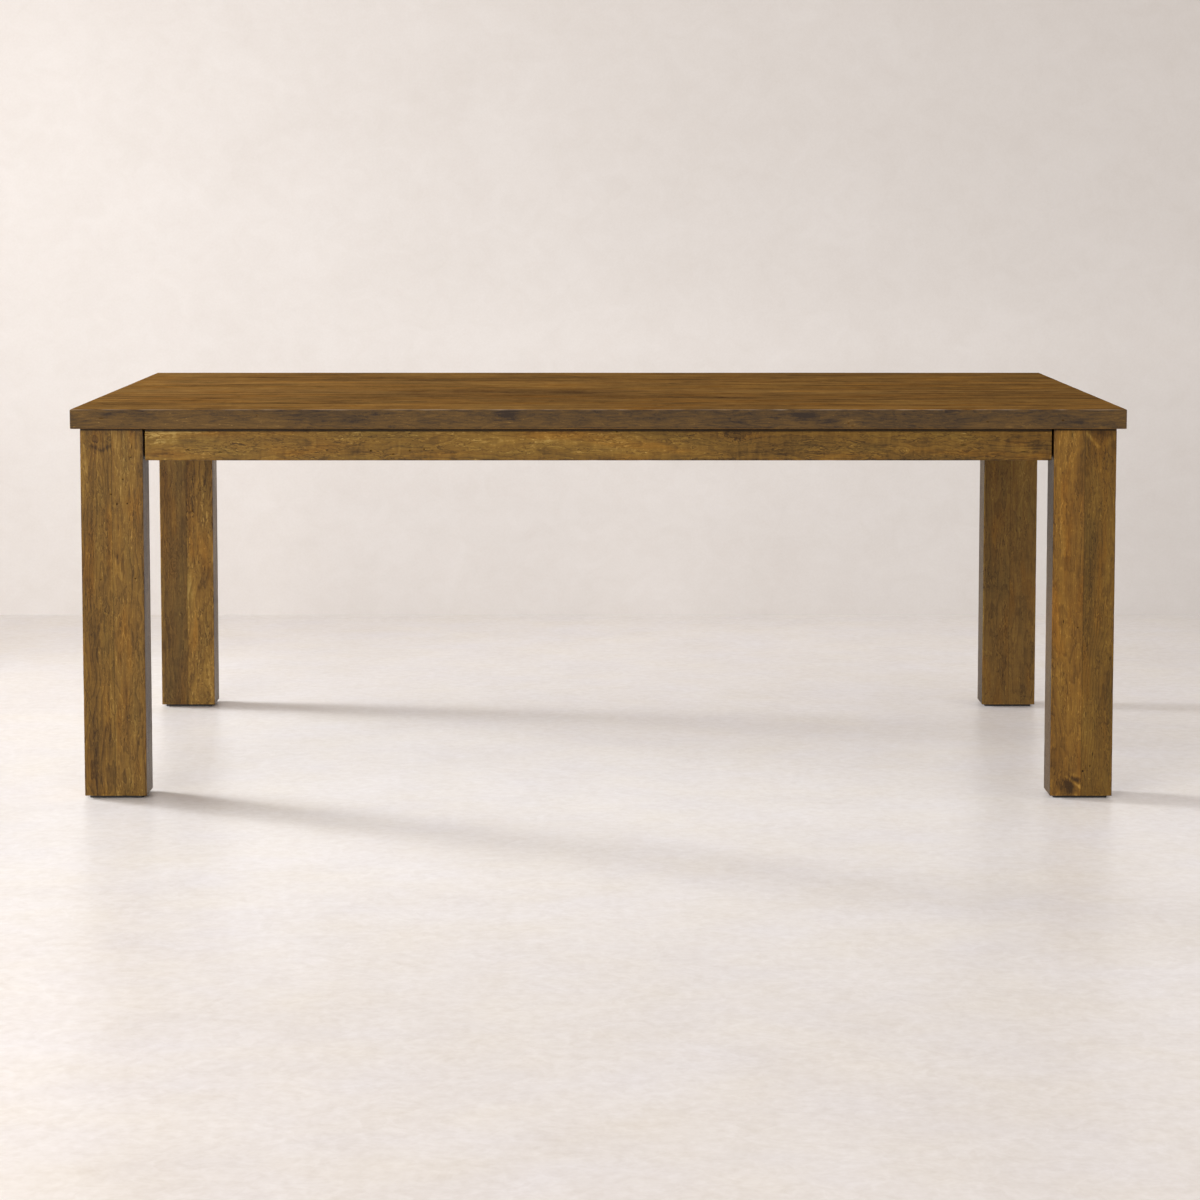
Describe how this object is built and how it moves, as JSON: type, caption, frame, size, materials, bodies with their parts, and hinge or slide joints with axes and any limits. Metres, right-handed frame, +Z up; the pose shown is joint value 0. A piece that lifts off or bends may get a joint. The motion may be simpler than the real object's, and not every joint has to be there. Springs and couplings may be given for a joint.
{
  "type": "dining table",
  "caption": "Rectangular solid-wood dining table with a thick plank top, shallow aprons with shadow gaps and wide flat legs on pads, built to be bolted together at the corners.",
  "frame": {"origin": "On the floor, under the middle of the table.", "axes": "+X along the table's length, to the right of somebody who faces the front, +Y from the front to the back across the width, +Z up."},
  "size_m": [2.032, 1.016, 0.762],
  "materials": {
    "top_wood": "satin brown stain and lacquer over knotty hardwood",
    "leg_wood": "satin golden-brown stain over knotty hardwood",
    "apron_wood": "satin golden-brown stain over knotty hardwood",
    "frame_wood": "sanded hardwood, thinly stained, out of sight under the top",
    "pad_plastic": "black moulded plastic",
    "bolt_steel": "bright zinc-plated steel",
    "screw_steel": "yellow zinc-plated steel",
    "clip_steel": "zinc-plated sheet steel"
  },
  "bodies": {
    "root": {"apron_back": "apron_wood", "apron_front": "apron_wood", "apron_left": "apron_wood", "apron_right": "apron_wood", "block_screws_back_left": "screw_steel", "block_screws_back_right": "screw_steel", "block_screws_front_left": "screw_steel", "block_screws_front_right": "screw_steel", "clip_screws": "screw_steel", "corner_block_back_left": "frame_wood", "corner_block_back_right": "frame_wood", "corner_block_front_left": "frame_wood", "corner_block_front_right": "frame_wood", "cross_rail_1": "frame_wood", "cross_rail_2": "frame_wood", "cross_rail_3": "frame_wood", "flat_washers_back_left": "bolt_steel", "flat_washers_back_right": "bolt_steel", "flat_washers_front_left": "bolt_steel", "flat_washers_front_right": "bolt_steel", "foot_pad_back_left": "pad_plastic", "foot_pad_back_right": "pad_plastic", "foot_pad_front_left": "pad_plastic", "foot_pad_front_right": "pad_plastic", "foot_pad_screws": "screw_steel", "hanger_bolts_back_left": "bolt_steel", "hanger_bolts_back_right": "bolt_steel", "hanger_bolts_front_left": "bolt_steel", "hanger_bolts_front_right": "bolt_steel", "hex_nuts_back_left": "bolt_steel", "hex_nuts_back_right": "bolt_steel", "hex_nuts_front_left": "bolt_steel", "hex_nuts_front_right": "bolt_steel", "leg_back_left_inner_board": "leg_wood", "leg_back_left_outer_board": "leg_wood", "leg_back_right_inner_board": "leg_wood", "leg_back_right_outer_board": "leg_wood", "leg_front_left_inner_board": "leg_wood", "leg_front_left_outer_board": "leg_wood", "leg_front_right_inner_board": "leg_wood", "leg_front_right_outer_board": "leg_wood", "rail_screws": "screw_steel", "spring_washers_back_left": "bolt_steel", "spring_washers_back_right": "bolt_steel", "spring_washers_front_left": "bolt_steel", "spring_washers_front_right": "bolt_steel", "top_board_1": "top_wood", "top_board_2": "top_wood", "top_board_3": "top_wood", "top_board_4": "top_wood", "top_board_5": "top_wood", "top_board_6": "top_wood", "top_board_7": "top_wood", "top_board_8": "top_wood", "top_clips_back": "clip_steel", "top_clips_front": "clip_steel", "top_clips_left": "clip_steel", "top_clips_right": "clip_steel"}
  },
  "joints": []
}
